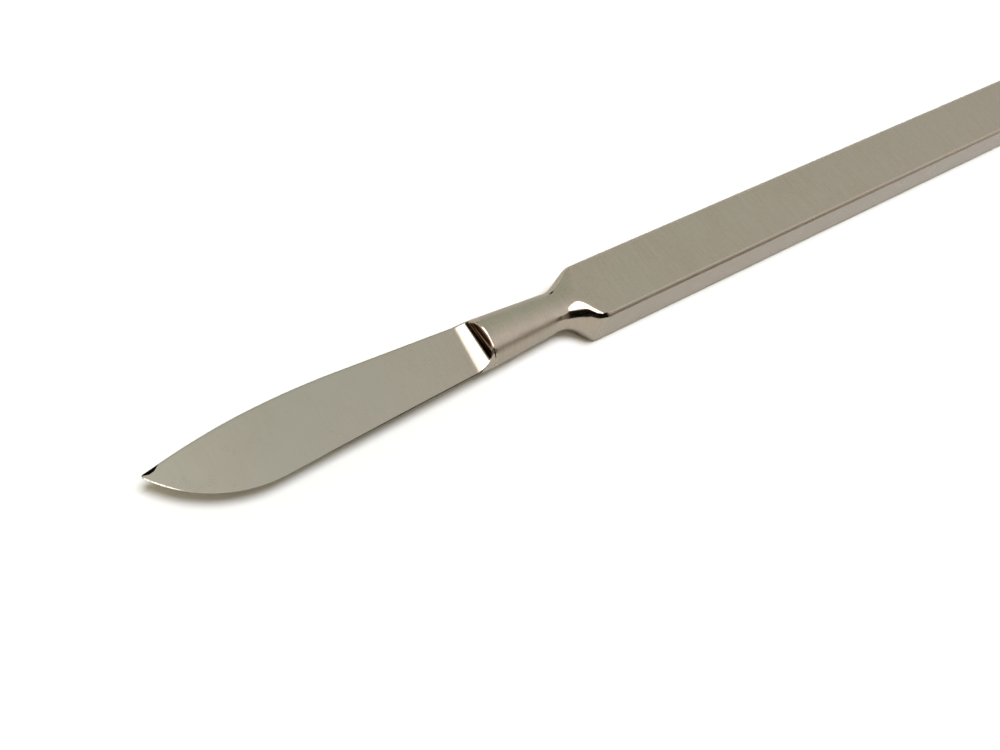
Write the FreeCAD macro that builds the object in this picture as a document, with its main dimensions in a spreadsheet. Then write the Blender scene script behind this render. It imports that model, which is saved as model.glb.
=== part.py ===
import FreeCAD, Part
import os
import Sketcher

# Ophthalmic scalpel, ground from one bar of stainless steel.
# Body frame: the blade's tip is at X = 0 and the handle runs to +X, the neck's axis is the X axis, the
# blade's back lies towards +Y and its cutting edge towards -Y. The body is then placed with its handle
# flat on Z = 0 and the middle of its box on the Z axis.

os.makedirs("parts", exist_ok=True)
doc = FreeCAD.newDocument("ophthalmic_scalpel")

# Driving sizes in millimetres and degrees, each with its meaning
sheet = doc.addObject("Spreadsheet::Sheet", "sizes")
SIZES = [
    ("blade_length", "25.2", "tip to the rim where the wheel left the neck"),
    ("neck_length", "9.4", "rim to the shoulder's corner"),
    ("handle_length", "95.4", "shoulder's corner to the butt"),
    ("handle_width", "5.2", "bar, across"),
    ("handle_thickness", "3.95", "bar, flat to flat"),
    ("handle_break", "0.3", "bevel on the bar's long edges"),
    ("butt_break", "0.4", "bevel round the butt"),
    ("handle_offset", "0.4", "bar's middle, towards the cutting edge from the neck's axis"),
    ("neck_root_diameter", "3.94", "neck at the blade"),
    ("neck_taper", "3.45", "neck's slope down to the shoulder"),
    ("flare_radius", "2.5", "turned hollow between neck and shoulder"),
    ("flare_angle", "51", "slope of the shoulder where it runs out of the bar"),
    ("tip_height", "1.5", "tip above the neck's axis"),
    ("belly_depth", "2.71", "lowest point of the cutting edge below the axis"),
    ("belly_radius", "9.1", "curve of the cutting edge up to the tip"),
    ("spine_height", "2.47", "highest point of the back above the axis"),
    ("spine_radius", "60.6", "curve of the back down to the tip"),
    ("grind_angle", "5.7", "slope of each ground face"),
    ("edge_land", "0.06", "thickness left at the cutting edge"),
    ("wheel_radius", "1.35", "hollow that the grinding wheel left at the blade's root"),
    ("spine_step", "0.06", "neck's rim above the blade's flat back"),
]

# Places worked out from the sizes above
PLACES = [
    ("root_radius", "=neck_root_diameter / 2"),
    ("corner_x", "=blade_length + neck_length"),
    ("butt_x", "=corner_x + handle_length"),
    ("stub_x", "=blade_length - 2 * wheel_radius"),
    # bar's section, seen along the axis
    ("bar_near", "=-handle_offset - handle_width / 2"),
    ("bar_far", "=-handle_offset + handle_width / 2"),
    ("bar_half", "=handle_thickness / 2"),
    # turned profile: the flare's line passes through the bar's near corner
    ("corner_radius", "=sqrt(bar_near * bar_near + bar_half * bar_half)"),
    ("turn_rise", "=flare_radius * (cos(neck_taper) - cos(flare_angle))"),
    ("turn_run", "=flare_radius * (sin(neck_taper) + sin(flare_angle))"),
    ("straight_run", "=(corner_radius - root_radius - turn_rise) / tan(flare_angle)"),
    ("neck_run", "=(neck_length - turn_run - straight_run) / (1 + tan(neck_taper) / tan(flare_angle))"),
    ("flare_x", "=blade_length + neck_run"),
    ("flare_foot", "=root_radius - neck_run * tan(neck_taper)"),
    ("flare_end_x", "=flare_x + turn_run"),
    ("flare_end", "=flare_foot + turn_rise"),
    ("clear_radius", "=corner_radius + 1"),
    ("clear_x", "=flare_end_x + (clear_radius - flare_end) / tan(flare_angle)"),
    # cutting edge: a straight from the neck's side, tangent to the belly's circle through the tip
    ("heel_depth", "=root_radius - edge_land / 2"),
    ("belly_y", "=belly_radius - belly_depth"),
    ("belly_x", "=sqrt(belly_radius * belly_radius - (tip_height - belly_y) * (tip_height - belly_y))"),
    ("heel_run", "=blade_length - belly_x"),
    ("heel_drop", "=heel_depth + belly_y"),
    ("heel_square", "=heel_run * heel_run + heel_drop * heel_drop"),
    ("heel_near", "=belly_radius * belly_radius / heel_square"),
    ("heel_side", "=belly_radius * sqrt(heel_square - belly_radius * belly_radius) / heel_square"),
    ("belly_start_x", "=belly_x + heel_near * heel_run - heel_side * heel_drop"),
    ("belly_start_y", "=belly_y - heel_near * heel_drop - heel_side * heel_run"),
    ("heel_slope", "=(belly_start_y + heel_depth) / (belly_start_x - blade_length)"),
    # back: a straight from the neck's other side, tangent to the back's circle through the tip
    ("spine_y", "=spine_height - spine_radius"),
    ("spine_x", "=sqrt(spine_radius * spine_radius - (tip_height - spine_y) * (tip_height - spine_y))"),
    ("rim_y", "=root_radius - spine_step"),
    ("rim_x", "=blade_length - heel_slope * (rim_y + heel_depth)"),
    ("clear_y", "=rim_y + belly_depth + spine_height"),
    ("clear_rim_x", "=blade_length - heel_slope * (clear_y + heel_depth)"),
    ("clear_heel_x", "=blade_length - heel_slope * (heel_depth - clear_y)"),
    ("back_run", "=rim_x - spine_x"),
    ("back_rise", "=rim_y - spine_y"),
    ("back_square", "=back_run * back_run + back_rise * back_rise"),
    ("back_near", "=spine_radius * spine_radius / back_square"),
    ("back_side", "=spine_radius * sqrt(back_square - spine_radius * spine_radius) / back_square"),
    ("spine_start_x", "=spine_x + back_near * back_run - back_side * back_rise"),
    ("spine_start_y", "=spine_y + back_near * back_rise + back_side * back_run"),
    # wedge section of the blade, wider than the blade so that the back is cut from it
    ("wedge_width", "=belly_depth + spine_height + 1"),
    ("wedge_half", "=edge_land / 2 + wedge_width * tan(grind_angle)"),
    # placing of the finished body
    ("place_x", "=-butt_x / 2"),
    ("place_y", "=-(bar_near + spine_height) / 2"),
]


def fill_sheet():
    """Put every size and place into the sheet, one row each, under its own name."""
    for row, cells in enumerate(SIZES + PLACES, start=1):
        sheet.set("A%d" % row, cells[0])
        sheet.set("B%d" % row, cells[1])
        sheet.set("C%d" % row, "".join(cells[2:]))
        sheet.setAlias("B%d" % row, cells[0])
    doc.recompute()


def size(name):
    """Value of a named cell."""
    return float(sheet.get(name))


def origin_plane(body, role):
    """The body's own origin plane with this role."""
    return next(item for item in body.Origin.OriginFeatures if item.Role == role)


def new_sketch(body, name, role):
    """A sketch on one of the body's origin planes."""
    sketch = body.newObject("Sketcher::SketchObject", name)
    sketch.AttachmentSupport = (origin_plane(body, role), [""])
    sketch.MapMode = "FlatFace"
    return sketch


def turned(axis):
    """An offset that turns about one of the sketch's axes; a formula then sets its angle."""
    directions = {"x": FreeCAD.Vector(1, 0, 0), "y": FreeCAD.Vector(0, 1, 0)}
    return FreeCAD.Placement(FreeCAD.Vector(), FreeCAD.Rotation(directions[axis], 1))


def value_of(formula):
    """A formula's number, worked out by the sheet's own engine for a sketch's first guess."""
    return float(sheet.evalExpression(formula))


def pin(sketch, edge, end, across, up):
    """Hold an edge's end at two formulas, across and up from the sketch's origin."""
    for kind, formula in (("DistanceX", across), ("DistanceY", up)):
        index = sketch.addConstraint(Sketcher.Constraint(kind, -1, 1, edge, end, value_of(formula)))
        sketch.setExpression("Constraints[%d]" % index, formula)


def outline(sketch, corners, arcs=None, closed=True):
    """Join the corners, given as pairs of formulas, by straight edges, or by the arcs named for an edge.

    An arc is (radius formula, centre's guess across, centre's guess up, turning left)."""
    arcs = arcs or {}
    points = [FreeCAD.Vector(value_of(a), value_of(b), 0) for a, b in corners]
    count = len(points) if closed else len(points) - 1
    for i in range(count):
        start = points[i]
        end = points[(i + 1) % len(points)]
        if i in arcs:
            radius, centre_x, centre_y, left = arcs[i]
            centre = FreeCAD.Vector(value_of(centre_x), value_of(centre_y), 0)
            first, last = (start, end) if left else (end, start)
            circle = Part.Circle(centre, FreeCAD.Vector(0, 0, 1), value_of(radius))
            angles = [circle.parameter(first), circle.parameter(last)]
            sketch.addGeometry(Part.ArcOfCircle(circle, angles[0], angles[1]), False)
        else:
            sketch.addGeometry(Part.LineSegment(start, end), False)
    for i in range(count):
        begins = 1 if i not in arcs or arcs[i][3] else 2
        ends = 3 - begins
        pin(sketch, i, begins, *corners[i])
        following = (i + 1) % len(points)
        if closed or i < count - 1:
            next_begins = 1 if following not in arcs or arcs[following][3] else 2
            sketch.addConstraint(Sketcher.Constraint("Coincident", i, ends, following, next_begins))
        else:
            pin(sketch, i, ends, *corners[following])
        if i in arcs:
            index = sketch.addConstraint(Sketcher.Constraint("Radius", i, value_of(arcs[i][0])))
            sketch.setExpression("Constraints[%d]" % index, arcs[i][0])


def finish_step(feature, sign):
    """Recompute, and stop unless the feature added (sign 1) or removed (sign -1) material."""
    doc.recompute()
    before = feature.BaseFeature.Shape.Volume if feature.BaseFeature else 0.0
    change = feature.Shape.Volume - before
    print("%-12s %+10.4f mm3" % (feature.Name, change))
    if change * sign <= 0:
        raise RuntimeError(feature.Name + " changed the volume the wrong way, or not at all")


def make_scalpel():
    """The whole instrument as one body: bar, turned neck, ground blade."""
    body = doc.addObject("PartDesign::Body", "scalpel")
    body.Label = "scalpel"

    # bar of rectangular section with its long edges broken
    section = new_sketch(body, "bar_section", "YZ_Plane")
    section.setExpression("AttachmentOffset.Base.z", "sizes.stub_x")
    near, far, half, bevel = "sizes.bar_near", "sizes.bar_far", "sizes.bar_half", "sizes.handle_break"
    outline(section, [
        (near + " + " + bevel, "-" + half), (far + " - " + bevel, "-" + half),
        (far, "-" + half + " + " + bevel), (far, half + " - " + bevel),
        (far + " - " + bevel, half), (near + " + " + bevel, half),
        (near, half + " - " + bevel), (near, "-" + half + " + " + bevel)])
    bar = body.newObject("PartDesign::Pad", "bar")
    bar.Profile = section
    bar.setExpression("Length", "sizes.butt_x - sizes.stub_x")
    finish_step(bar, 1)

    # neck and shoulder turned about the neck's axis
    profile = new_sketch(body, "turned_profile", "XY_Plane")
    outline(profile, [
        ("sizes.stub_x - 1", "sizes.root_radius"), ("sizes.blade_length", "sizes.root_radius"),
        ("sizes.flare_x", "sizes.flare_foot"), ("sizes.flare_end_x", "sizes.flare_end"),
        ("sizes.clear_x", "sizes.clear_radius"), ("sizes.stub_x - 1", "sizes.clear_radius")],
        arcs={2: ("sizes.flare_radius", "sizes.flare_x + sizes.flare_radius * sin(sizes.neck_taper)",
                  "sizes.flare_foot + sizes.flare_radius * cos(sizes.neck_taper)", True)})
    turning = body.newObject("PartDesign::Groove", "turning")
    turning.Profile = profile
    turning.ReferenceAxis = (profile, ["H_Axis"])
    turning.Angle = 360
    finish_step(turning, -1)

    # blade: a wedge carried along the cutting edge, from the neck's side round the belly to the tip
    path = new_sketch(body, "cutting_edge", "XY_Plane")
    outline(path, [
        ("sizes.blade_length", "-sizes.heel_depth"), ("sizes.belly_start_x", "sizes.belly_start_y"),
        ("0", "sizes.tip_height")],
        arcs={1: ("sizes.belly_radius", "sizes.belly_x", "sizes.belly_y", False)}, closed=False)
    wedge = new_sketch(body, "wedge_section", "YZ_Plane")
    wedge.AttachmentOffset = turned("y")
    wedge.setExpression("AttachmentOffset.Base.x", "-sizes.heel_depth")
    wedge.setExpression("AttachmentOffset.Base.z", "sizes.blade_length")
    wedge.setExpression("AttachmentOffset.Rotation.Angle", "atan(sizes.heel_slope)")
    outline(wedge, [
        ("0", "-sizes.edge_land / 2"), ("sizes.wedge_width", "-sizes.wedge_half"),
        ("sizes.wedge_width", "sizes.wedge_half"), ("0", "sizes.edge_land / 2")])
    blade = body.newObject("PartDesign::AdditivePipe", "blade")
    blade.Profile = wedge
    blade.Spine = path
    finish_step(blade, 1)

    # back of the blade cut to its line, from the neck's other side round to the tip
    back = new_sketch(body, "back_line", "XY_Plane")
    outline(back, [
        ("sizes.rim_x", "sizes.rim_y"), ("sizes.clear_rim_x", "sizes.clear_y"), ("-1", "sizes.clear_y"),
        ("-1", "sizes.tip_height"), ("0", "sizes.tip_height"),
        ("sizes.spine_start_x", "sizes.spine_start_y")],
        arcs={4: ("sizes.spine_radius", "sizes.spine_x", "sizes.spine_y", False)})
    trim = body.newObject("PartDesign::Pocket", "back_cut")
    trim.Profile = back
    trim.Type = "ThroughAll"
    trim.Midplane = True
    finish_step(trim, -1)

    # the rim cleared under the cutting edge's straight
    heel = new_sketch(body, "heel_line", "XY_Plane")
    outline(heel, [
        ("sizes.blade_length", "-sizes.heel_depth"), ("sizes.belly_start_x", "sizes.belly_start_y"),
        ("sizes.belly_start_x", "-sizes.clear_y"), ("sizes.clear_heel_x", "-sizes.clear_y")])
    clear = body.newObject("PartDesign::Pocket", "heel_cut")
    clear.Profile = heel
    clear.Type = "ThroughAll"
    clear.Midplane = True
    doc.recompute()

    # hollow that the wheel left at the root, on a plane square to the upper ground face
    along_edge = body.newObject("PartDesign::Plane", "along_edge")
    along_edge.AttachmentSupport = (origin_plane(body, "XZ_Plane"), [""])
    along_edge.MapMode = "FlatFace"
    along_edge.AttachmentOffset = turned("y")
    along_edge.setExpression("AttachmentOffset.Base.x", "sizes.blade_length")
    along_edge.setExpression("AttachmentOffset.Base.y", "sizes.edge_land / 2")
    along_edge.setExpression("AttachmentOffset.Base.z", "sizes.heel_depth")
    along_edge.setExpression("AttachmentOffset.Rotation.Angle", "atan(sizes.heel_slope)")
    wheel = body.newObject("Sketcher::SketchObject", "wheel_profile")
    wheel.AttachmentSupport = (along_edge, [""])
    wheel.MapMode = "FlatFace"
    wheel.AttachmentOffset = turned("x")
    wheel.setExpression("AttachmentOffset.Rotation.Angle", "sizes.grind_angle")
    outline(wheel, [
        ("-2 * sizes.wheel_radius - 1", "0"), ("-sizes.wheel_radius", "0"), ("0", "sizes.wheel_radius"),
        ("0", "sizes.neck_root_diameter"), ("-2 * sizes.wheel_radius - 1", "sizes.neck_root_diameter")],
        arcs={1: ("sizes.wheel_radius", "-sizes.wheel_radius", "sizes.wheel_radius", True)})
    root = body.newObject("PartDesign::Pocket", "upper_root")
    root.Profile = wheel
    root.Type = "ThroughAll"
    root.Midplane = True
    finish_step(root, -1)
    lower = body.newObject("PartDesign::Mirrored", "lower_root")
    lower.Originals = [root]
    lower.MirrorPlane = (origin_plane(body, "XY_Plane"), [""])
    body.Tip = lower
    finish_step(lower, -1)

    # bevel round the butt
    rim = []
    for index, edge in enumerate(lower.Shape.Edges, start=1):
        if all(abs(vertex.X - size("butt_x")) < 1e-6 for vertex in edge.Vertexes):
            rim.append("Edge%d" % index)
    butt = body.newObject("PartDesign::Chamfer", "butt_bevel")
    butt.Base = (lower, rim)
    butt.setExpression("Size", "sizes.butt_break")
    finish_step(butt, -1)

    body.setExpression("Placement.Base.x", "sizes.place_x")
    body.setExpression("Placement.Base.y", "sizes.place_y")
    body.setExpression("Placement.Base.z", "sizes.bar_half")
    doc.recompute()
    return body


fill_sheet()
scalpel = make_scalpel()

# every object and the finished shape are sound before anything is written
for item in doc.Objects:
    if "Invalid" in item.State or "Error" in item.State:
        raise RuntimeError(item.Name + " is not sound: " + ", ".join(item.State))
shape = scalpel.Shape
if shape.isNull() or not shape.isValid() or len(shape.Solids) != 1:
    raise RuntimeError("the scalpel is not one valid solid")
print("scalpel: %d faces, %.3f mm3" % (len(shape.Faces), shape.Volume))
shape.exportStep("parts/scalpel.step")
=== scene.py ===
import bpy
import numpy as np
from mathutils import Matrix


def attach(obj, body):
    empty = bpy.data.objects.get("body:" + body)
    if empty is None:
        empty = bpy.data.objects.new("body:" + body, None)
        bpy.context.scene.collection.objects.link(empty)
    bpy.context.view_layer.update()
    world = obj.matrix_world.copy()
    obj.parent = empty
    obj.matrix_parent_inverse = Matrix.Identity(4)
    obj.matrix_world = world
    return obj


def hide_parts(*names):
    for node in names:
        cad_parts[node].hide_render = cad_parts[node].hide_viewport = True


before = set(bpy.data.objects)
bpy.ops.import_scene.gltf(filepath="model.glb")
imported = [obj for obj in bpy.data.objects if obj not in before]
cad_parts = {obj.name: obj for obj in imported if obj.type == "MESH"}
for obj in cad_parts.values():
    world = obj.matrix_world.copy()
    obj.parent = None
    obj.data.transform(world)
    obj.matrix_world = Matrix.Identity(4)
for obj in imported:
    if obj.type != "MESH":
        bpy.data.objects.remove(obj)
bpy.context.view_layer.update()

# Blade
# The thin end of the bar, ground to a wedge on both sides and then to its outline: a straight heel, a round
# belly and an upturned tip along the cutting edge, and a back that is straight and then gently curved.
# All sizes are in millimetres, from the blade's tip along X and from the neck's axis in Y and Z.
BLADE_LENGTH = 25.2
BELLY_RADIUS = 9.1
BELLY_DEPTH = 2.71
SPINE_RADIUS = 60.6
SPINE_HEIGHT = 2.47
SPINE_STEP = 0.06
TIP_HEIGHT = 1.37
NOSE_RADIUS = 0.17
EDGE_LAND = 0.085
GRIND = np.radians(5.7)
ROOT_RADIUS = 1.97


def touch(corner, centre, radius, turn):
    """Point where a straight from the corner touches a circle: the radius there is square to the straight,
    so it lies off the line of centres by the angle whose cosine is radius over distance."""
    away = corner - centre
    angle = np.arctan2(away[1], away[0]) + turn * np.arccos(radius / np.hypot(away[0], away[1]))
    return centre + radius * np.array([np.cos(angle), np.sin(angle)])


# cutting edge: a circle through the tip, and the straight from the neck's near side that touches it
belly_y = BELLY_RADIUS - BELLY_DEPTH
belly = np.array([np.sqrt(BELLY_RADIUS ** 2 - (TIP_HEIGHT - belly_y) ** 2), belly_y])
heel = np.array([BLADE_LENGTH, EDGE_LAND / 2 - ROOT_RADIUS])
belly_end = touch(heel, belly, BELLY_RADIUS, -1)
heel_slope = (belly_end[1] - heel[1]) / (belly_end[0] - heel[0])
heel_turn = np.arctan(heel_slope)

# back: a circle through the tip, and the straight from just inside the neck's far side that touches it
spine_y = SPINE_HEIGHT - SPINE_RADIUS
spine = np.array([np.sqrt(SPINE_RADIUS ** 2 - (TIP_HEIGHT - spine_y) ** 2), spine_y])
rim_y = ROOT_RADIUS - SPINE_STEP
rim = np.array([BLADE_LENGTH - heel_slope * (rim_y - heel[1]), rim_y])
spine_end = touch(rim, spine, SPINE_RADIUS, 1)
back_slope = (spine_end[1] - rim[1]) / (spine_end[0] - rim[0])

# the tip is stoned to a small nose, a circle between the edge's and the back's directions there
edge_way = np.arctan2(-belly[0], belly[1] - TIP_HEIGHT)
back_way = np.arctan2(spine[0], TIP_HEIGHT - spine[1])
nose_half = (back_way - edge_way) / 2
nose_way = (back_way + edge_way) / 2
nose_reach = NOSE_RADIUS / np.sin(nose_half)
nose = np.array([nose_reach * np.cos(nose_way), TIP_HEIGHT + nose_reach * np.sin(nose_way)])


def nose_arc(x):
    """Half the nose's width: the root of its radius squared less the square of the way to its centre."""
    along = np.clip(x - nose[0], -NOSE_RADIUS, 0)
    return np.sqrt(NOSE_RADIUS ** 2 - along ** 2)


def edge_line(x):
    """Y of the cutting edge: the nose's circle, the belly's circle, then the straight heel."""
    belly_part = belly[1] - np.sqrt(np.maximum(BELLY_RADIUS ** 2 - (x - belly[0]) ** 2, 0))
    heel_part = heel[1] + heel_slope * (x - heel[0])
    line = np.where(x < belly_end[0], belly_part, heel_part)
    return np.where(x < nose[0] + NOSE_RADIUS * np.sin(edge_way), nose[1] - nose_arc(x), line)


def back_line(x):
    """Y of the blade's back: the nose's circle, the back's circle, then the straight to the neck."""
    curved = spine[1] + np.sqrt(SPINE_RADIUS ** 2 - (x - spine[0]) ** 2)
    straight = rim[1] + back_slope * (x - rim[0])
    line = np.where(x < spine_end[0], curved, straight)
    return np.where(x < nose[0] - NOSE_RADIUS * np.sin(back_way), nose[1] + nose_arc(x), line)


def half_thickness(x, y):
    """Half the wedge's thickness: half the edge's land plus the grind's tangent times the distance from the
    cutting edge, which runs along the belly's radii and square to the heel."""
    round_part = BELLY_RADIUS - np.hypot(x - belly[0], y - belly[1])
    straight_part = (y - heel[1]) * np.cos(heel_turn) - (x - heel[0]) * np.sin(heel_turn)
    past = (x - belly_end[0]) * np.cos(heel_turn) + (y - belly_end[1]) * np.sin(heel_turn)
    return EDGE_LAND / 2 + np.tan(GRIND) * np.where(past > 0, straight_part, round_part)


# Root, back and edge of the blade
# Where the small wheel left the wedge there is a hollow up each side, square to the heel and wider towards
# the cutting edge. The back's corners are stoned off, to a facet at the tip, and the edge is honed by hand:
# finely along the belly, wider at the heel and raggedly at the tip.
WHEEL_RADIUS = 1.85
WHEEL_START = np.radians(18)
WHEEL_END = np.radians(86)
WHEEL_SPREAD = 0.16
LEAN_START = 15.0
BACK_BREAK = 0.09
BACK_DROP = 0.05
BACK_ROUNDNESS = 0.3
TIP_FACET = 0.17
TIP_FACET_DROP = 0.5
TIP_FACET_MIDDLE = 0.7
TIP_FACET_REACH = 0.4
EDGE_ROUNDNESS = 0.2
HONE_WIDTH = 0.012
HEEL_LAND = 0.03
HEEL_LAND_START = 10.0
HEEL_LAND_RISE = 10.0
TIP_HONE = 0.09
TIP_HONE_END = 2.0
TIP_HONE_RISE = 1.1
ROOT_HONE = 0.04
WIDEST_BEVEL = 0.3
DEEPEST_BEVEL = 0.6
HONED_EDGE = 0.98
TIP_HONE_DEPTH = 0.88
THINNEST_EDGE = 0.002

# a ring of points goes from the back over the upper side to the edge: back, its corner, top, corner, edge
RING_COUNTS = {"back": 8, "back_corner": 4, "top": 44, "edge_corner": 4, "edge": 8}
back_steps = np.linspace(0, 1, RING_COUNTS["back"] + 1)[None, :]
back_corner_steps, top_steps, edge_corner_steps, edge_steps = [
    np.linspace(0, 1, count + 1)[None, 1:] for count in list(RING_COUNTS.values())[1:]]

wheel_run = np.sin(WHEEL_END) - np.sin(WHEEL_START)
hollow_start = BLADE_LENGTH - WHEEL_RADIUS * wheel_run / np.cos(heel_turn)


def smooth(t):
    """Smooth step from 0 to 1: three t squared less two t cubed, held outside that range."""
    t = np.clip(t, 0, 1)
    return t * t * (3 - 2 * t)


def lean(y):
    """How far a ring square to the heel runs towards the tip: its height above it times the heel's slope."""
    return (y - heel[1]) * heel_slope


def near_root(x):
    """How far a ring follows the wheel: a smooth step, from the lean's start to the start of the hollow."""
    return smooth((x - LEAN_START) / (hollow_start - LEAN_START))


def at_tip(x):
    """Depth of the tip's facet along the blade: e to the minus fourth power of the way from its middle."""
    return np.exp(-((x - TIP_FACET_MIDDLE) / TIP_FACET_REACH) ** 4)


def at_heel(x):
    """Width of the heel's land along the blade: a smooth step."""
    return smooth((x - HEEL_LAND_START) / HEEL_LAND_RISE)


def ragged(x):
    """Uneven width of a strip honed by hand: one plus two waves multiplied, plus a finer third wave."""
    return 1 + 0.55 * np.sin(29 * x) * np.sin(9.3 * x + 1) + 0.35 * np.sin(47 * x + 2)


def soft_corner(first, corner, last, steps, roundness):
    """Points from first to last: a straight facet blended with the curve that the corner pulls out."""
    straight = first + (last - first) * steps
    curve = (1 - steps) ** 2 * first + 2 * steps * (1 - steps) * corner + steps ** 2 * last
    return straight + (curve - straight) * roundness


def blade_rings(station, wheel_angle):
    """Rings of the blade and its root, one row each.

    The upper side is the wedge's half thickness plus the wheel's hollow, whose height is its radius times the
    cosine of the starting angle less the cosine of the angle turned. The radius grows slowly towards the
    edge. It is cut off by the back, the edge and the neck's cylinder, where straight and circle meet at the
    roots of a quadratic."""
    station, wheel_angle = station[:, None], wheel_angle[:, None]
    leaning = near_root(station)
    turned_up = (np.cos(WHEEL_START) - np.cos(wheel_angle)) / np.cos(GRIND)
    turned_back = (np.sin(WHEEL_END) - np.sin(wheel_angle)) / np.cos(heel_turn) * leaning

    def place(y):
        """X at a height: the station, less the lean, less the wheel's wider turn towards the edge."""
        return station - leaning * lean(y) + WHEEL_SPREAD * y * turned_back

    def side(y):
        """Z at a height: the wedge's half thickness plus the wheel's radius there times its arc's rise."""
        return half_thickness(station - leaning * lean(y), y) + (WHEEL_RADIUS - WHEEL_SPREAD * y) * turned_up

    # where a ring leans, the back's height depends on its own place, so it is found in two passes
    y_edge = edge_line(station + WHEEL_SPREAD * edge_line(station) * turned_back)
    y_back = back_line(station - leaning * lean(back_line(station)))
    y_back = back_line(place(y_back))

    # the upper side as a straight across the ring, and its meeting points with the neck's cylinder
    grind_slope = np.tan(GRIND) / np.cos(heel_turn)
    slope = grind_slope - WHEEL_SPREAD * turned_up
    hollow = WHEEL_RADIUS * turned_up
    level = EDGE_LAND / 2 - grind_slope * y_edge + hollow
    back_radius = np.maximum(ROOT_RADIUS, np.hypot(y_back, half_thickness(place(y_back), y_back)))
    edge_radius = np.hypot(y_edge, EDGE_LAND / 2)
    spread = 1 + slope ** 2
    back_root = (-slope * level + np.sqrt(np.maximum(spread * back_radius ** 2 - level ** 2, 0))) / spread
    edge_root = (-slope * level - np.sqrt(np.maximum(spread * edge_radius ** 2 - level ** 2, 0))) / spread
    in_root = hollow > 0
    y_far = np.where(in_root, np.minimum(y_back, back_root), y_back)
    y_near = np.where(in_root, edge_root, y_edge)
    z_far = side(y_far)
    z_near = side(y_near)

    # back: flat, or the neck's circle in the root, up to the broken corner
    facet = TIP_FACET * at_tip(station)
    drop = np.minimum(BACK_DROP + TIP_FACET_DROP * facet, DEEPEST_BEVEL * z_far)
    run = np.minimum(BACK_BREAK + facet, WIDEST_BEVEL * (y_back - y_edge))
    top_angle = np.arcsin(np.clip(z_far / back_radius, 0, 1)) - drop / back_radius
    back_y = np.minimum(y_back, back_radius * np.cos(top_angle * back_steps))
    back_z = back_radius * np.sin(top_angle * back_steps)
    corner_y = soft_corner(back_y[:, -1:], y_far, y_far - run, back_corner_steps, BACK_ROUNDNESS)
    corner_z = soft_corner(back_z[:, -1:], z_far, side(y_far - run), back_corner_steps, BACK_ROUNDNESS)

    # edge: a narrow land, honed to a ragged bevel at the tip
    honed = smooth((TIP_HONE_END - station) / TIP_HONE_RISE)
    hone = HONE_WIDTH + HEEL_LAND * at_heel(station) + TIP_HONE * ragged(station) * honed
    hone = np.where(in_root, ROOT_HONE, np.minimum(hone, WIDEST_BEVEL * (y_back - y_edge)))
    honed_z = np.maximum(z_near * (HONED_EDGE - TIP_HONE_DEPTH * honed), THINNEST_EDGE)
    near_z = np.where(in_root, z_near - ROOT_HONE, honed_z)

    def near_side(z):
        """Y beside the edge: the neck's circle in the root, and the edge's own line along the blade."""
        return np.where(in_root, -np.sqrt(np.maximum(edge_radius ** 2 - z ** 2, 0)), y_edge + 0 * z)

    top_first, top_last = y_far - run, y_near + hone
    top_y = top_first + (top_last - top_first) * top_steps
    hone_y = soft_corner(top_last, y_near, near_side(near_z), edge_corner_steps, EDGE_ROUNDNESS)
    hone_z = soft_corner(side(top_last), z_near, near_z, edge_corner_steps, EDGE_ROUNDNESS)
    edge_z = near_z * (1 - edge_steps)

    y = np.concatenate([back_y, corner_y, top_y, hone_y, near_side(edge_z)], axis=1)
    z = np.concatenate([back_z, corner_z, side(top_y), hone_z, edge_z], axis=1)
    return place(y), y, z


# the rings lie closer together where the outline or the hollow turns more
TIP_END = 2.6
TIP_SPACING = 0.05
BELLY_END = 8.0
BELLY_SPACING = 0.15
nose_turn = np.radians(np.linspace(8, 80, 8))
blade_station = np.concatenate([
    nose[0] - NOSE_RADIUS * np.cos(nose_turn), np.arange(nose[0], TIP_END, TIP_SPACING),
    np.arange(TIP_END, BELLY_END, BELLY_SPACING), np.linspace(BELLY_END, hollow_start, 56)])
wheel_turn = np.linspace(WHEEL_START, WHEEL_END, 27)[1:]
hollow_station = BLADE_LENGTH - WHEEL_RADIUS * (np.sin(WHEEL_END) - np.sin(wheel_turn)) / np.cos(heel_turn)
station = np.concatenate([blade_station, hollow_station])
wheel_angle = np.concatenate([WHEEL_START + 0 * blade_station, wheel_turn])
blade = blade_rings(station, wheel_angle)

# Neck and shoulder
# The bar turned down about its own axis: a slow taper, then a hollow and a flare that run out of the bar's
# four flats. The handle's section sits a little towards the cutting edge from that axis. The rim above the
# wheel's hollow is rounded, and the crease between flare and flats is softened, least on the near side.
NECK_LENGTH = 9.4
NECK_TAPER = np.radians(3.45)
FLARE_RADIUS = 2.5
FLARE_ANGLE = np.radians(51)
HANDLE_WIDTH = 5.2
HANDLE_THICKNESS = 3.95
HANDLE_OFFSET = 0.4
HANDLE_BREAK = 0.3
BAR_ROUNDNESS = 0.2
RIM_ROUNDING = 0.14
RIM_WALL_SHARE = 0.8
RIM_TURNS = np.radians([90, 68, 45, 22, 0])
RIM_SPACINGS = [0.004, 0.01, 0.016, 0.022, 0.03]
CREASE_ANGLES = [0, 80, 115, 147, 165, 180]
CREASE_SOFTNESS = [0.25, 0.25, 0.19, 0.27, 0.1, 0.1]
CREASE_SHARPEST = 1e-4
SOFT_START = 30.5
SOFT_RISE = 1.5
PROFILE_REACH = 6.0
SQUARED_SHARE = 0.72
FLARED_SHARE = 0.93

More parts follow.
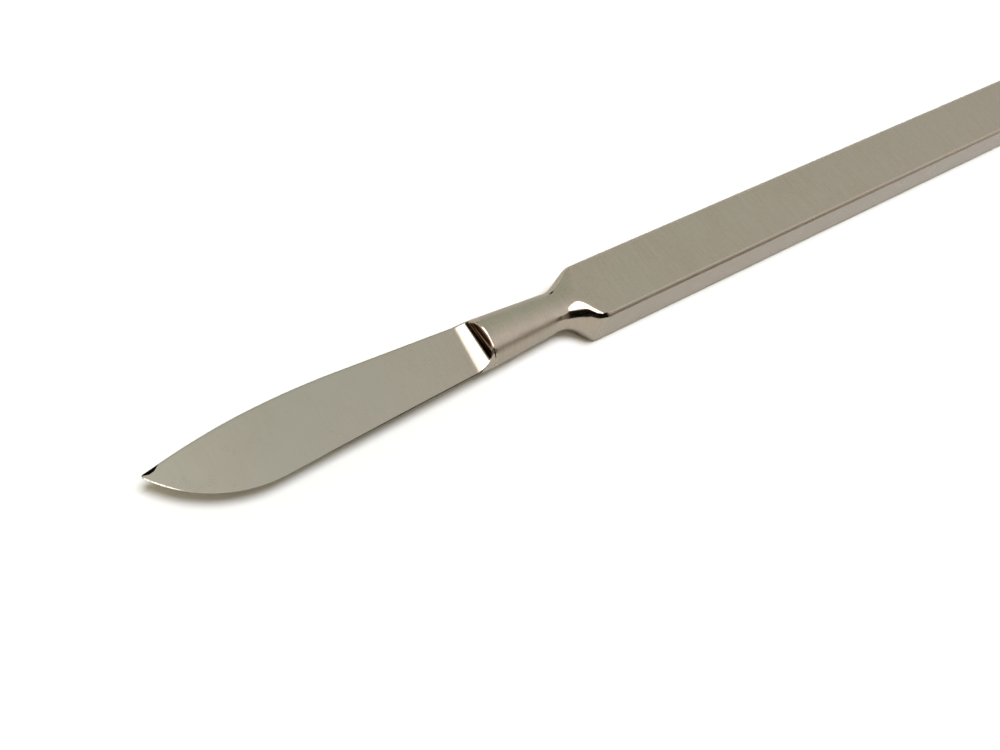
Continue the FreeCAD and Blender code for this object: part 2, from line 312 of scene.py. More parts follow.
bar_far = HANDLE_WIDTH / 2 - HANDLE_OFFSET
bar_near = -HANDLE_WIDTH / 2 - HANDLE_OFFSET
bar_half = HANDLE_THICKNESS / 2
corner_radius = np.hypot(bar_near, bar_half)
flare_rise = FLARE_RADIUS * (np.cos(NECK_TAPER) - np.cos(FLARE_ANGLE))
flare_run = FLARE_RADIUS * (np.sin(NECK_TAPER) + np.sin(FLARE_ANGLE))
cone_run = (corner_radius - ROOT_RADIUS - flare_rise) / np.tan(FLARE_ANGLE)
taper_share = 1 + np.tan(NECK_TAPER) / np.tan(FLARE_ANGLE)
flare_start = BLADE_LENGTH + (NECK_LENGTH - flare_run - cone_run) / taper_share
flare_foot = ROOT_RADIUS - (flare_start - BLADE_LENGTH) * np.tan(NECK_TAPER)


def turned_radius(x):
    """Radius of the turned profile: the taper's straight, the hollow's circle, the flare's straight."""
    taper = ROOT_RADIUS - np.maximum(x - BLADE_LENGTH, 0) * np.tan(NECK_TAPER)
    centre_x = flare_start + FLARE_RADIUS * np.sin(NECK_TAPER)
    centre_radius = flare_foot + FLARE_RADIUS * np.cos(NECK_TAPER)
    along = np.clip(x - centre_x, -FLARE_RADIUS, FLARE_RADIUS * np.sin(FLARE_ANGLE))
    hollow = centre_radius - np.sqrt(FLARE_RADIUS ** 2 - along ** 2)
    cone = flare_foot + flare_rise + (x - flare_start - flare_run) * np.tan(FLARE_ANGLE)
    return np.where(x < flare_start, taper, np.where(x < flare_start + flare_run, hollow, cone))


def bar_ring(inset):
    """Upper half of the bar's section, from the middle of the back to the middle of the edge side, with its
    corners broken and every side moved in by the inset. Rows are insets, columns follow the ring's counts."""
    inset = np.atleast_1d(inset)[:, None]
    far, near, half = bar_far - inset, bar_near + inset, bar_half - inset
    cut = HANDLE_BREAK - (2 - np.sqrt(2)) * inset
    back_y, back_z = far + 0 * back_steps, (half - cut) * back_steps
    corner_y = soft_corner(far, far, far - cut, back_corner_steps, BAR_ROUNDNESS)
    corner_z = soft_corner(half - cut, half, half, back_corner_steps, BAR_ROUNDNESS)
    top_y, top_z = far - cut + (near - far + 2 * cut) * top_steps, half + 0 * top_steps
    other_y = soft_corner(near + cut, near, near, edge_corner_steps, BAR_ROUNDNESS)
    other_z = soft_corner(half, half, half - cut, edge_corner_steps, BAR_ROUNDNESS)
    edge_y, edge_z = near + 0 * edge_steps, (half - cut) * (1 - edge_steps)
    y = np.concatenate([back_y, corner_y, top_y, other_y, edge_y], axis=1)
    z = np.concatenate([back_z, corner_z, top_z, other_z, edge_z], axis=1)
    return y, z


bar_y, bar_z = bar_ring(0.0)
bar_angle = np.arctan2(bar_z, bar_y)
bar_reach = np.hypot(bar_y, bar_z)

# the rim's angles stand above the hollow's last ring, so that its small wall has no slanting faces
last_y, last_z = [part[-1:] for part in blade[1:]]
rim_angle = np.arctan2(last_z, last_y)
level_columns = slice(RING_COUNTS["back"], -RING_COUNTS["edge"])
rim_angle[:, level_columns] = np.arccos(np.clip(last_y[:, level_columns] / ROOT_RADIUS, -1, 1))
rim_round = np.clip(RIM_WALL_SHARE * (ROOT_RADIUS - np.hypot(last_y, last_z)), 0, RIM_ROUNDING)


def round_ring(radius, angle, beyond):
    """A ring of the neck near its rim: a circle at this radius, leaning as the rim does."""
    y, z = radius * np.cos(angle), radius * np.sin(angle)
    return BLADE_LENGTH - lean(y) + beyond, y, z


rim_rings = [
    round_ring(ROOT_RADIUS - rim_round * np.sin(turn), rim_angle, rim_round * (1 - np.sin(turn)) + spacing)
    for turn, spacing in zip(RIM_TURNS, RIM_SPACINGS)]

# crease: where the flare's radius reaches the bar's side, looked up in the profile
profile_x = np.linspace(flare_start, flare_start + PROFILE_REACH, 4000)
profile_radius = turned_radius(profile_x)


def side_reach(angle):
    """Distance from the axis to the bar's side at an angle about the axis, between the ring's own points."""
    return np.interp(angle, bar_angle[0], bar_reach[0])


def crease_x(angle):
    """X of the crease at an angle about the axis, where the profile is as wide as the bar's side is far."""
    return np.interp(side_reach(angle), profile_radius, profile_x)


def shoulder_radius(x, angle):
    """The lesser of the turned radius and the bar's reach, with the crease between them softened: less the
    width times the logarithm of one plus the falling exponential of their difference over the width."""
    softness = np.interp(np.degrees(angle), CREASE_ANGLES, CREASE_SOFTNESS)
    width = softness * smooth((x - SOFT_START) / SOFT_RISE) + CREASE_SHARPEST
    lesser = np.minimum(turned_radius(x), side_reach(angle))
    gap = np.abs(turned_radius(x) - side_reach(angle))
    return lesser - width * np.log1p(np.exp(-gap / width))


# along the neck the ring's points turn from the rim's angles to the bar's, and lie closest at the crease
neck_share = np.concatenate([
    np.linspace(0, SQUARED_SHARE, 22)[1:], np.linspace(SQUARED_SHARE, FLARED_SHARE, 24)[1:],
    np.linspace(FLARED_SHARE, 1, 18)[1:]])[:, None]
neck_angle = rim_angle + (bar_angle - rim_angle) * smooth(neck_share / SQUARED_SHARE)
neck_start = BLADE_LENGTH + rim_round + RIM_SPACINGS[-1] - lean(ROOT_RADIUS * np.cos(neck_angle))
neck_x = neck_start + (crease_x(neck_angle) - neck_start) * neck_share
neck_radius = shoulder_radius(neck_x, neck_angle)
neck = (neck_x, neck_radius * np.cos(neck_angle), neck_radius * np.sin(neck_angle))

# Handle
# The rest of the bar: flat sides, long edges broken, a small bevel round the butt. Its rings lie close at the
# softened crease, and then further and further apart.
HANDLE_LENGTH = 95.4
BUTT_BREAK = 0.4
CREASE_MIDDLE = 34.0

butt_x = BLADE_LENGTH + NECK_LENGTH + HANDLE_LENGTH
bar_steps = np.concatenate([
    np.arange(0.04, 0.6, 0.04), np.arange(0.6, 2.4, 0.15),
    np.array([3, 4, 6, 9, 14, 20, 28, 38, 50, 62, 74, 86])])
bar_share = np.append(bar_steps / (butt_x - BUTT_BREAK - CREASE_MIDDLE), 1.0)[:, None]
handle_x = crease_x(bar_angle) + (butt_x - BUTT_BREAK - crease_x(bar_angle)) * bar_share
handle_radius = shoulder_radius(handle_x, bar_angle)
handle = (handle_x, handle_radius * np.cos(bar_angle), handle_radius * np.sin(bar_angle))
butt_inset = BUTT_BREAK * np.array([0.25, 0.6, 1.0])
butt_y, butt_z = bar_ring(butt_inset)
butt = (butt_x - BUTT_BREAK + butt_inset[:, None] + 0 * butt_y, butt_y, butt_z)

# Whole surface
# The instrument is one piece of steel, so its rings are joined into one closed skin. Each of its points keeps
# two values for the steel: how far it was polished, and how far the wheel burnt it, with a painted dark
# reflection added on the tip's facet and the heel's land.
SHARP_ANGLE = np.radians(24)
HOLLOW_POLISH_START = 0.1
HOLLOW_POLISH_RISE = 0.3
NECK_DULLNESS = 0.3
NECK_DULL_RISE = 0.4
FLARE_POLISH_START = 30.6
FLARE_POLISH_RISE = 1.4
BAR_SATIN_START = 0.15
BAR_SATIN_RISE = 0.5
HEEL_DARK_END = 0.4
HEEL_DARK_FALL = 0.3
BURN_WALL = 0.03
BURN_WALL_RISE = 0.2
# along the hollow the burn sets in with the wheel's turn, in degrees
BURN_START = 50.0
BURN_RISE = 12.0
# strength of the painted dark reflection on the tip's facet and the heel's land, so high that no streaks show
SOLID_PAINTED_REFLECTION = 10.0

skin_x, skin_y, skin_z = [
    np.concatenate([part[axis] for part in [blade] + rim_rings + [neck, handle, butt]]) for axis in range(3)]


def whole_ring(upper, sign):
    """A full ring for each row: the upper half, then its mirror image below with this sign."""
    return np.concatenate([upper, sign * upper[:, -2:0:-1]], 1)


def closed_skin(x, y, z, offset):
    """Mesh data from upper half rings: each ring is closed by its mirror image below, neighbouring rings are
    joined by quads, and the first and last rings are filled."""
    ring = np.stack([whole_ring(x, 1), whole_ring(y, 1), whole_ring(z, -1)], axis=2)
    rows, columns = ring.shape[:2]
    corner = np.arange(rows * columns).reshape(rows, columns)
    right = np.roll(corner, -1, axis=1)
    quads = np.stack([corner[:-1], corner[1:], right[1:], right[:-1]], axis=2).reshape(-1, 4)
    return (ring.reshape(-1, 3) + offset) / 1000, quads, corner[0], corner[-1][::-1]


# the frame's origin lies under the middle of the instrument's box, on the handle's lower flat
place_by = np.array([-butt_x / 2, -(bar_near + SPINE_HEIGHT) / 2, bar_half])
points, quads, tip_cap, butt_cap = closed_skin(skin_x, skin_y, skin_z, place_by)
mesh = bpy.data.meshes.new("scalpel_skin")
mesh.from_pydata(points.tolist(), [], quads.tolist() + [tip_cap.tolist(), butt_cap.tolist()])
mesh.validate()
mesh.polygons.foreach_set("use_smooth", [True] * len(mesh.polygons))
mesh.set_sharp_from_angle(angle=SHARP_ANGLE)


def ring_attribute(name, upper):
    """Keep a value at each point of the skin, the same below as above."""
    values = whole_ring(upper, 1).ravel().astype(np.float32)
    mesh.attributes.new(name, "FLOAT", "POINT").data.foreach_set("value", values)


# polish: 0 on the satin flats, 1 in the wheel's hollow and on the flare, and below 0 on the neck, which was
# left a little duller than the flats
in_hollow = smooth((skin_x - hollow_start - HOLLOW_POLISH_START) / HOLLOW_POLISH_RISE)
in_hollow = in_hollow * (skin_x < BLADE_LENGTH + HOLLOW_POLISH_RISE)
on_neck = -NECK_DULLNESS * smooth((skin_x - BLADE_LENGTH) / NECK_DULL_RISE)
on_flare = smooth((skin_x - FLARE_POLISH_START) / FLARE_POLISH_RISE)
past_crease = skin_x - crease_x(np.arctan2(skin_z, skin_y))
on_bar = smooth((past_crease - BAR_SATIN_START) / BAR_SATIN_RISE)
polish = np.where(in_hollow > 0, in_hollow, on_neck + (1 - on_neck) * on_flare) * (1 - on_bar)
polish = np.where(skin_x < hollow_start, 0, polish)
ring_attribute("polish", polish)

# burn and painted reflection: the corner of the hollow, where the wheel's flank rubbed, is burnt up to the
# rim.
# The tip's facet and the heel's land are painted black as a dark reflection, so heavily that no streaks show
# there
tip_facet = slice(RING_COUNTS["back"] + 1, RING_COUNTS["back"] + RING_COUNTS["back_corner"] + 1)
heel_land = slice(-RING_COUNTS["edge"] - RING_COUNTS["edge_corner"], None)
heel_painted_reflection = at_heel(station) * smooth((hollow_start + HEEL_DARK_END - station) / HEEL_DARK_FALL)
burn_and_painted_reflection = np.zeros_like(skin_x)
burn_and_painted_reflection[:len(station)] = smooth((np.degrees(wheel_angle)[:, None] - BURN_START) / BURN_RISE)
burn_and_painted_reflection = burn_and_painted_reflection * smooth((ROOT_RADIUS - BURN_WALL - np.hypot(skin_y, skin_z)) / BURN_WALL_RISE)
# painted dark reflection: solid black on the heel's land and the tip's facet
burn_and_painted_reflection[:len(station), heel_land] = SOLID_PAINTED_REFLECTION * heel_painted_reflection[:, None]
burn_and_painted_reflection[:len(station), tip_facet] = SOLID_PAINTED_REFLECTION * at_tip(station)[:, None]
ring_attribute("burn_and_painted_reflection", burn_and_painted_reflection)

scalpel = bpy.data.objects.new("scalpel_skin", mesh)
bpy.context.collection.objects.link(scalpel)
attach(scalpel, "root")
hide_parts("scalpel")

# Steel
# Martensitic stainless steel, blasted with glass beads to a satin, which breaks reflections into a soft grey
# with a fine mottle. Wheel and turning lines cross the blade and the neck, and the polished hollow and flare
# mirror the room in streaks that follow the wheel. It reflects a little warmer than it receives.
STEEL_DARK = "#928778"
STEEL_LIGHT = "#B1A69A"
STEEL_COOL = "#A29E93"
STRAW_OXIDE = "#8A6A4C"
BROWN_OXIDE = "#2E2018"
# nearly black oxide, also the colour of the painted dark reflection on the tip's facet and the heel's land
BLACK_OXIDE_AND_PAINTED_REFLECTION = "#15100D"
SATIN_ROUGHNESS = 0.29
POLISHED_ROUGHNESS = 0.11
PATCH_ROUGHNESS = 0.02
DENT_DEPTH = 4e-7
LINE_DEPTH = 8e-7

# repeats of each pattern in a metre. Bead dents measure 0.03 to 0.08 mm and are drawn at 0.2 mm, so that they
# show; patches of heavier and lighter blasting are about 1 mm across, clouds from uneven rubbing about 5 mm;
# wheel and turning lines of 120 grit lie about 0.1 mm apart and are 2.4 mm long, polishing streaks 7 mm
DENT_REPEATS = 5000.0
PATCH_REPEATS = 900.0
CLOUD_REPEATS = 210.0
LINE_REPEATS = (9000.0, 420.0, 420.0)
STREAK_REPEATS = (9000.0, 150.0, 9000.0)


def linear(code):
    """The three linear values of an sRGB hex colour, with an alpha of 1: below 0.04045 the value over 12.92,
    and above it the value plus 0.055 over 1.055, to the power of 2.4."""
    value = np.array([int(code[i:i + 2], 16) for i in (1, 3, 5)]) / 255
    curve = np.where(value <= 0.04045, value / 12.92, ((value + 0.055) / 1.055) ** 2.4)
    return tuple(curve.tolist()) + (1.0,)


def empty_tree(owner):
    """Switch on the nodes of a material or of the world, and give back its tree with nothing in it."""
    owner.use_nodes = True
    owner.node_tree.nodes.clear()
    return owner.node_tree


def add_node(tree, kind, settings=None, values=None, links=None):
    """Add a node to a material's or world's tree, set its properties and socket values, and link its inputs,
    each given as a socket of an earlier node."""
    node = tree.nodes.new(kind)
    for name, value in (settings or {}).items():
        setattr(node, name, value)
    for name, value in (values or {}).items():
        node.inputs[name].default_value = value
    for name, socket in (links or {}).items():
        tree.links.new(socket, node.inputs[name])
    return node


steel = bpy.data.materials.new("satin_stainless_steel")
tree = empty_tree(steel)
polished = add_node(tree, "ShaderNodeAttribute", {"attribute_name": "polish"})
burnt_and_painted_reflection = add_node(tree, "ShaderNodeAttribute", {"attribute_name": "burn_and_painted_reflection"})
position = add_node(tree, "ShaderNodeTexCoord")

# patterns: dents, patches and clouds are even in all directions; lines run square to X; streaks follow the
# small wheel, so they are turned square to the heel before they are drawn out
beads = add_node(tree, "ShaderNodeTexNoise", values={"Scale": DENT_REPEATS, "Detail": 2.0, "Roughness": 0.6},
                 links={"Vector": position.outputs["Object"]})
patches = add_node(tree, "ShaderNodeTexNoise",
                   values={"Scale": PATCH_REPEATS, "Detail": 3.0, "Roughness": 0.55},
                   links={"Vector": position.outputs["Object"]})
clouds = add_node(tree, "ShaderNodeTexNoise",
                  values={"Scale": CLOUD_REPEATS, "Detail": 3.0, "Roughness": 0.5},
                  links={"Vector": position.outputs["Object"]})
across = add_node(tree, "ShaderNodeMapping", values={"Scale": LINE_REPEATS},
                  links={"Vector": position.outputs["Object"]})
lines = add_node(tree, "ShaderNodeTexNoise", values={"Scale": 1.0, "Detail": 2.0, "Roughness": 0.5},
                 links={"Vector": across.outputs[0]})
squared = add_node(tree, "ShaderNodeMapping", values={"Rotation": (0.0, 0.0, -float(heel_turn))},
                   links={"Vector": position.outputs["Object"]})
drawn_out = add_node(tree, "ShaderNodeMapping", values={"Scale": STREAK_REPEATS},
                     links={"Vector": squared.outputs[0]})
streaks = add_node(tree, "ShaderNodeTexNoise", values={"Scale": 1.0, "Detail": 1.0, "Roughness": 0.5},
                   links={"Vector": drawn_out.outputs[0]})

# roughness: from satin to polish, a little more or less in the patches
finish = add_node(tree, "ShaderNodeMapRange", {"clamp": False},
                  {"To Min": SATIN_ROUGHNESS, "To Max": POLISHED_ROUGHNESS},
                  {"Value": polished.outputs["Fac"]})
dulled = add_node(tree, "ShaderNodeMapRange", values={
    "From Min": 0.3, "From Max": 0.7, "To Min": -PATCH_ROUGHNESS, "To Max": PATCH_ROUGHNESS},
    links={"Value": patches.outputs["Fac"]})
roughness = add_node(tree, "ShaderNodeMath", {"operation": "ADD"},
                     links={0: finish.outputs[0], 1: dulled.outputs[0]})

# tone: dents and lines hold less light, the clouds are a slightly greener grey, and the blade is painted
# cooler and lighter than the handle, a painted sheen that stands for the room's reflection in it
marks = add_node(tree, "ShaderNodeMix", {"data_type": "FLOAT"}, {0: 0.5},
                 {2: lines.outputs["Fac"], 3: beads.outputs["Fac"]})
tone = add_node(tree, "ShaderNodeMix", {"data_type": "RGBA"}, {6: linear(STEEL_DARK), 7: linear(STEEL_LIGHT)},
                {0: marks.outputs[0]})
cloudy = add_node(tree, "ShaderNodeMapRange", values={"From Min": 0.4, "From Max": 0.65, "To Max": 0.25},
                  links={"Value": clouds.outputs["Fac"]})
lengthwise = add_node(tree, "ShaderNodeSeparateXYZ", links={0: position.outputs["Object"]})
# painted sheen: over the blade the colour is turned cooler and lighter
blade_painted_sheen = add_node(tree, "ShaderNodeMapRange", values={"From Min": -0.04, "From Max": -0.05, "To Max": 0.6},
                    links={"Value": lengthwise.outputs["X"]})
clouds_and_painted_sheen = add_node(tree, "ShaderNodeMath", {"operation": "ADD"},
                    links={0: cloudy.outputs[0], 1: blade_painted_sheen.outputs[0]})
cool = add_node(tree, "ShaderNodeMix", {"data_type": "RGBA"}, {7: linear(STEEL_COOL)},
                {0: clouds_and_painted_sheen.outputs[0], 6: tone.outputs[2]})

# oxide: the wheel's heat turned the steel straw brown and then nearly black, with scoured streaks. The same
# ramp paints the tip's facet and the heel's land black, a painted dark reflection.
scoured = add_node(tree, "ShaderNodeMapRange",
                   values={"From Min": 0.42, "From Max": 0.68, "To Min": 1.0, "To Max": 0.1},
                   links={"Value": streaks.outputs["Fac"]})
heat_and_painted_reflection = add_node(tree, "ShaderNodeMath", {"operation": "MULTIPLY"},
                links={0: burnt_and_painted_reflection.outputs["Fac"], 1: scoured.outputs[0]})
oxide_and_painted_reflection = add_node(tree, "ShaderNodeValToRGB", links={0: heat_and_painted_reflection.outputs[0]})
for share, colour in [(0.3, STRAW_OXIDE), (0.62, BROWN_OXIDE)]:
    oxide_and_painted_reflection.color_ramp.elements.new(share).color = linear(colour)
oxide_and_painted_reflection.color_ramp.elements[0].color = linear("#FFFFFF")
oxide_and_painted_reflection.color_ramp.elements[-1].color = linear(BLACK_OXIDE_AND_PAINTED_REFLECTION)
coloured = add_node(tree, "ShaderNodeMix", {"data_type": "RGBA", "blend_type": "MULTIPLY"}, {0: 1.0},
                    {6: cool.outputs[2], 7: oxide_and_painted_reflection.outputs[0]})

# relief: bead dents on the satin, which give way to streaks where it was polished, and the lines over both
worked = add_node(tree, "ShaderNodeMix", {"data_type": "FLOAT"},
                  links={0: polished.outputs["Fac"], 2: beads.outputs["Fac"], 3: streaks.outputs["Fac"]})
dents = add_node(tree, "ShaderNodeBump", values={"Strength": 1.0, "Distance": DENT_DEPTH},
                 links={"Height": worked.outputs[0]})
grind = add_node(tree, "ShaderNodeBump", values={"Strength": 1.0, "Distance": LINE_DEPTH},
                 links={"Height": lines.outputs["Fac"], "Normal": dents.outputs[0]})
surface = add_node(tree, "ShaderNodeBsdfPrincipled", values={
    "Metallic": 1.0, "Specular Tint": (0.7, 0.7, 0.7, 1.0)}, links={
    "Base Color": coloured.outputs[2], "Roughness": roughness.outputs[0], "Normal": grind.outputs[0]})
add_node(tree, "ShaderNodeOutputMaterial", links={"Surface": surface.outputs["BSDF"]})
mesh.materials.append(steel)

# Table
# A plain sheet of uncoated white paper under the instrument, 6 m wide so that its ends are never seen. It is
# matt and a little warm. All sizes from here on are in metres, from the frame's origin.
PAPER_REACH = 3.0
PAPER_LIT = "#F4F3EF"
PAPER_WHITE = "#FFFFFC"
LAMP_REACH = (0.15, 0.7)

paper_mesh = bpy.data.meshes.new("table")
paper_mesh.from_pydata([(-PAPER_REACH, -PAPER_REACH, 0), (PAPER_REACH, -PAPER_REACH, 0),
                        (PAPER_REACH, PAPER_REACH, 0), (-PAPER_REACH, PAPER_REACH, 0)], [], [(0, 1, 2, 3)])
floor = bpy.data.objects.new("table", paper_mesh)
bpy.context.collection.objects.link(floor)

# beyond the lamp's reach the sheet stays as white as under it, to the eye and in the steel's reflections
paper = bpy.data.materials.new("white_paper")
tree = empty_tree(paper)
matt = add_node(tree, "ShaderNodeBsdfDiffuse", values={"Color": linear(PAPER_LIT)})
spot = add_node(tree, "ShaderNodeTexCoord")
distance = add_node(tree, "ShaderNodeVectorMath", {"operation": "LENGTH"}, links={0: spot.outputs["Object"]})
far_off = add_node(tree, "ShaderNodeMapRange", {"interpolation_type": "SMOOTHSTEP"},
                   {"From Min": LAMP_REACH[0], "From Max": LAMP_REACH[1]},
                   {"Value": distance.outputs["Value"]})
ray = add_node(tree, "ShaderNodeLightPath")
mirrored = add_node(tree, "ShaderNodeMath", {"operation": "MAXIMUM"},
                    links={0: ray.outputs["Is Glossy Ray"], 1: ray.outputs["Is Transmission Ray"]})
seen = add_node(tree, "ShaderNodeMath", {"operation": "MAXIMUM"},
                links={0: ray.outputs["Is Camera Ray"], 1: mirrored.outputs[0]})
whitened = add_node(tree, "ShaderNodeMath", {"operation": "MULTIPLY"},
                    links={0: far_off.outputs[0], 1: seen.outputs[0]})
white = add_node(tree, "ShaderNodeEmission", values={"Color": linear(PAPER_WHITE), "Strength": 1.0})
sheet = add_node(tree, "ShaderNodeMixShader",
                 links={0: whitened.outputs[0], 1: matt.outputs[0], 2: white.outputs[0]})
add_node(tree, "ShaderNodeOutputMaterial", links={"Surface": sheet.outputs[0]})
paper_mesh.materials.append(paper)

# Room
# Matt painted walls all round: white, a little green on the far side and brighter on the near side. The steel
# mirrors them, but the paper gets only a dim warm fill from them, so that the lamp's shadow stays clear.
WALL_WHITE = "#FFFEFB"
WALL_GREEN = "#E4EFE2"
FILL = "#FFF0CC"
FILL_STRENGTH = 0.4
NEAR_GAIN = 1.25

world = bpy.data.worlds.new("studio")
bpy.context.scene.world = world
tree = empty_tree(world)
way = add_node(tree, "ShaderNodeTexCoord")
split = add_node(tree, "ShaderNodeSeparateXYZ", links={0: way.outputs["Generated"]})
far_wall = add_node(tree, "ShaderNodeMapRange", {"interpolation_type": "SMOOTHSTEP"},
                    {"From Min": -0.1, "From Max": 0.7}, {"Value": split.outputs["Y"]})
walls = add_node(tree, "ShaderNodeMix", {"data_type": "RGBA"}, {6: linear(WALL_WHITE), 7: linear(WALL_GREEN)},
                 {0: far_wall.outputs[0]})
near_wall = add_node(tree, "ShaderNodeMapRange", {"interpolation_type": "SMOOTHSTEP"},
                     {"From Min": 0.1, "From Max": -0.6, "To Min": 1.0, "To Max": NEAR_GAIN},
                     {"Value": split.outputs["Y"]})
room = add_node(tree, "ShaderNodeBackground",
                links={"Color": walls.outputs[2], "Strength": near_wall.outputs[0]})
fill = add_node(tree, "ShaderNodeBackground", values={"Color": linear(FILL), "Strength": FILL_STRENGTH})
ray = add_node(tree, "ShaderNodeLightPath")
pick = add_node(tree, "ShaderNodeMixShader",
                links={0: ray.outputs["Is Diffuse Ray"], 1: room.outputs[0], 2: fill.outputs[0]})
add_node(tree, "ShaderNodeOutputWorld", links={"Surface": pick.outputs[0]})

# Softbox
# A wide light box of thin white cloth, 0.4 m above the instrument and past its tip. The hollow and the flare
# show it as their one white reflection. It stays out of the picture, lights no paper and casts no shadow.
SOFTBOX_HEIGHT = 0.4
SOFTBOX_STRENGTH = 4.5


def studio_card(name, corners, material):
    """A flat or curved sheet from a grid of points, one quad between each four neighbours, which lights or
    darkens the scene but isn't seen."""
    rows, columns = corners.shape[:2]
    index = np.arange(rows * columns).reshape(rows, columns)
    faces = np.stack([index[:-1, :-1], index[:-1, 1:], index[1:, 1:], index[1:, :-1]], 2).reshape(-1, 4)
    card_mesh = bpy.data.meshes.new(name)
    card_mesh.from_pydata(corners.reshape(-1, 3).tolist(), [], faces.tolist())
    card_mesh.materials.append(material)
    card = bpy.data.objects.new(name, card_mesh)
    card.visible_camera = False
    bpy.context.collection.objects.link(card)
    return card


cloth = bpy.data.materials.new("softbox_cloth")
tree = empty_tree(cloth)
glow = add_node(tree, "ShaderNodeEmission", values={"Color": (1, 1, 1, 1), "Strength": SOFTBOX_STRENGTH})
add_node(tree, "ShaderNodeOutputMaterial", links={"Surface": glow.outputs[0]})
softbox_corners = SOFTBOX_HEIGHT * np.array([
    [[0.0, -0.75, 1], [-0.32, -0.25, 1], [-0.45, 0.45, 1], [-3.0, 1.6, 1]],
    [[0.0, -1.19, 1], [-0.5, -1.32, 1], [-1.4, -1.3, 1], [-2.2, -0.95, 1]]])
softbox = studio_card("softbox", softbox_corners, cloth)
softbox.visible_diffuse = False
softbox.visible_shadow = False

# Screens
# Dyed felt that stands round the instrument. A long screen runs from beyond the tip along the near side,
# black at first and then in greys: it blackens the hollow and the flare and shades the handle's near side. A
# low black rail on the far side draws the thin dark line along the blade's back.
SCREEN_DISTANCE = 1.3
RAIL_ENDS = (63, 74)
BLACK_FELT = "#1A1715"
FELT_TINT = (0.95, 0.88)
FELT_SPAN = (-0.2, 1.2)
# the screen's greys by their place along X, and the elevation of its top by the turn about the instrument
FELT_GREYS = [(0.04, 0.012), (0.2, 0.24), (0.42, 0.58), (0.68, 0.72), (0.76, 0.3), (0.83, 0.28), (1, 0.8)]
SCREEN_TURNS = [140, 152, 170, 185, 198, 210, 232, 270, 282, 300, 311, 318, 330]
SCREEN_TOPS = [12, 15, 15, 15, 19, 24, 26, 40, 32, 23, 20, 18, 12]


def standing_sheet(turn, top):
    """Points of a sheet that stands on a circle round the instrument: the distance times the turn's cosine
    and sine, in a row on the table and a row at the distance times the tangent of the top's elevation."""
    rise = SCREEN_DISTANCE * np.tan(np.radians(top)) * np.array([[0.0], [1.0]])
    x = SCREEN_DISTANCE * np.cos(np.radians(turn)) + 0 * rise
    y = SCREEN_DISTANCE * np.sin(np.radians(turn)) + 0 * rise
    return np.stack([x, y, rise], 2)


felt = bpy.data.materials.new("felt_screen")
tree = empty_tree(felt)
spot = add_node(tree, "ShaderNodeTexCoord")
split = add_node(tree, "ShaderNodeSeparateXYZ", links={0: spot.outputs["Object"]})
along = add_node(tree, "ShaderNodeMapRange", values={"From Min": FELT_SPAN[0], "From Max": FELT_SPAN[1]},
                 links={"Value": split.outputs["X"]})
dyed = add_node(tree, "ShaderNodeValToRGB", links={0: along.outputs[0]})
dyed.color_ramp.elements.remove(dyed.color_ramp.elements[0])
for x, grey in FELT_GREYS:
    stop = dyed.color_ramp.elements.new((x - FELT_SPAN[0]) / (FELT_SPAN[1] - FELT_SPAN[0]))
    stop.color = (grey, FELT_TINT[0] * grey, FELT_TINT[1] * grey, 1)
dyed.color_ramp.elements.remove(dyed.color_ramp.elements[-1])
nap = add_node(tree, "ShaderNodeBsdfDiffuse", links={"Color": dyed.outputs[0]})
add_node(tree, "ShaderNodeOutputMaterial", links={"Surface": nap.outputs[0]})
screen_turn = np.linspace(SCREEN_TURNS[0], SCREEN_TURNS[-1], 52)[None, :]
screen_top = np.interp(screen_turn, SCREEN_TURNS, SCREEN_TOPS)
studio_card("felt_screen", standing_sheet(screen_turn, screen_top), felt)

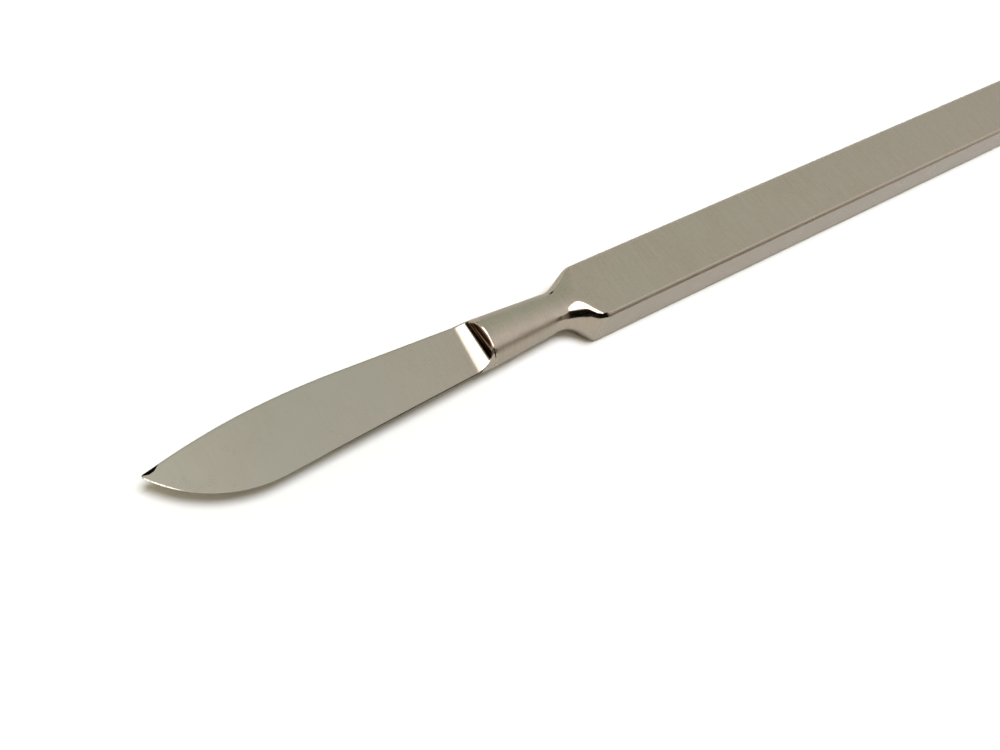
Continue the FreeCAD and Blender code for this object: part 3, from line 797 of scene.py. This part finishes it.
black_felt = bpy.data.materials.new("black_felt")
tree = empty_tree(black_felt)
nap = add_node(tree, "ShaderNodeBsdfDiffuse", values={"Color": linear(BLACK_FELT)})
add_node(tree, "ShaderNodeOutputMaterial", links={"Surface": nap.outputs[0]})
rail_turn = np.linspace(*RAIL_ENDS, 12)[None, :]
rail_top = np.interp(rail_turn, [63, 84], [11, 14])
studio_card("far_rail", standing_sheet(rail_turn, rail_top), black_felt)

# Shade of the camera
# The camera keeps the light off the table below it, and the near side of the flare mirrors that dark patch
# under the white of the softbox. The patch is a painted shadow: a card in the black felt's colour, on the
# table, that only reflections show.
SHADE_CENTRE = (-0.032, -0.001)
SHADE_HEIGHT = 0.0002
shade_angle = np.linspace(186, 285, 20)[None, :]
shade_turn = np.radians(shade_angle)
shade_inner = np.interp(shade_angle, [186, 235, 285], [0.014, 0.014, 0.07])
shade_reach = np.concatenate([shade_inner, SCREEN_DISTANCE + 0 * shade_turn])
shade_x = SHADE_CENTRE[0] + shade_reach * np.cos(shade_turn)
shade_y = SHADE_CENTRE[1] + shade_reach * np.sin(shade_turn)
shade = studio_card("camera_shade", np.stack([shade_x, shade_y, SHADE_HEIGHT + 0 * shade_x], 2), black_felt)
shade.visible_diffuse = False
shade.visible_shadow = False

# Lamp
# A round lamp almost straight overhead, a little to the near side. It lights the paper, so the shadow lies
# close under the instrument, but the steel doesn't mirror it.
lamp_data = bpy.data.lights.new("overhead", "AREA")
lamp_data.shape = "DISK"
lamp_data.size = 0.44
lamp_data.color = (0.88, 0.92, 1.0)
lamp_data.energy = 10.0
lamp = bpy.data.objects.new("overhead", lamp_data)
bpy.context.collection.objects.link(lamp)
lamp.location = (0.03, -0.09, 1.0)
lamp.rotation_euler = lamp.location.to_track_quat("Z", "Y").to_euler()
lamp.visible_camera = False
lamp.visible_glossy = False

# Camera
# A close view from above the blade's tip, 63 mm over the table, with the handle running out of the picture.
# Its place, turn and lens, here in millimetres on a 36 mm sensor, follow from the photograph's perspective.
camera_data = bpy.data.cameras.new("view")
camera_data.sensor_width = 36
camera_data.lens = 36.396
camera_data.clip_start = 0.002
camera = bpy.data.objects.new("view", camera_data)
bpy.context.collection.objects.link(camera)
camera.location = (-0.073544, -0.024755, 0.063010)
camera.rotation_euler = np.radians([30.6806, -14.1002, -34.2662]).tolist()
bpy.context.scene.camera = camera

bpy.context.scene.view_settings.view_transform = "Standard"
